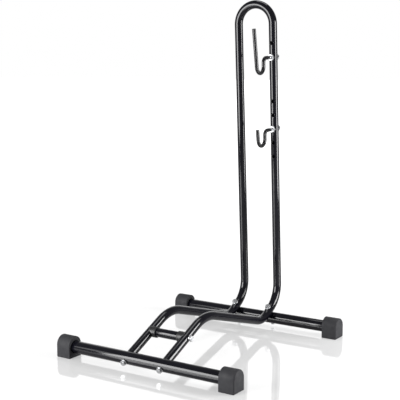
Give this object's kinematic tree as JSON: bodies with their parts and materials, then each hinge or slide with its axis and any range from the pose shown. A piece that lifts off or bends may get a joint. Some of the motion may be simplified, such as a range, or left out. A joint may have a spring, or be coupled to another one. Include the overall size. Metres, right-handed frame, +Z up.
{
  "type": "floor bike rack",
  "caption": "Floor rack for a bicycle: cross tubes on rubber feet, bent side rails and a tall hoop that hold the wheel, and height-adjustable hooks that hold the frame.",
  "frame": {"origin": "on the floor, under the middle of the rack's outline", "axes": "+Z up; +Y from the front cross tube to the rear one, where the hoop stands; +X to the side whose hoop leg carries the hooks"},
  "size_m": [0.4186, 0.4642, 0.718],
  "materials": {
    "gloss_black_paint": "gloss",
    "satin_black_coat": "satin",
    "black_rubber": "matte",
    "black_plastic": "satin",
    "zinc_plate": "bright zinc plate"
  },
  "bodies": {
    "frame": {"front_base_tube": "gloss_black_paint", "rear_base_tube": "gloss_black_paint", "front_left_foot": "black_rubber", "front_right_foot": "black_rubber", "rear_left_foot": "black_rubber", "rear_right_foot": "black_rubber", "left_side_rail": "gloss_black_paint", "right_side_rail": "gloss_black_paint", "left_rail_plug": "zinc_plate", "right_rail_plug": "zinc_plate", "left_rail_insert": "zinc_plate", "cross_spacer": "gloss_black_paint", "left_spacer_saddle": "black_plastic", "right_spacer_saddle": "black_plastic", "spacer_bolt": "zinc_plate", "spacer_washer": "zinc_plate", "hoop": "gloss_black_paint", "upper_hook_front_nut": "zinc_plate", "upper_hook_rear_nut": "zinc_plate", "lower_hook_front_nut": "zinc_plate", "lower_hook_rear_nut": "zinc_plate", "left_front_bolt": "zinc_plate", "left_front_washer": "zinc_plate", "right_front_bolt": "zinc_plate", "right_front_washer": "zinc_plate", "left_joint_bolt": "zinc_plate", "left_joint_washer": "zinc_plate", "left_joint_nut": "zinc_plate", "right_joint_bolt": "zinc_plate", "right_joint_washer": "zinc_plate", "right_joint_nut": "zinc_plate"},
    "upper_hook_rod": {"upper_hook": "satin_black_coat"},
    "lower_hook_rod": {"lower_hook": "satin_black_coat"}
  },
  "joints": [
    {"name": "upper_hook_swivel", "type": "hinge", "parent": "frame", "child": "upper_hook_rod", "pos_m": [0.0425, 0.19699, 0.5965], "axis": [0, -0.9986, -0.0523], "range_deg": [-90, 90]},
    {"name": "lower_hook_swivel", "type": "hinge", "parent": "frame", "child": "lower_hook_rod", "pos_m": [0.0425, 0.20506, 0.4425], "axis": [0, -0.9986, -0.0523], "range_deg": [-90, 90]}
  ]
}
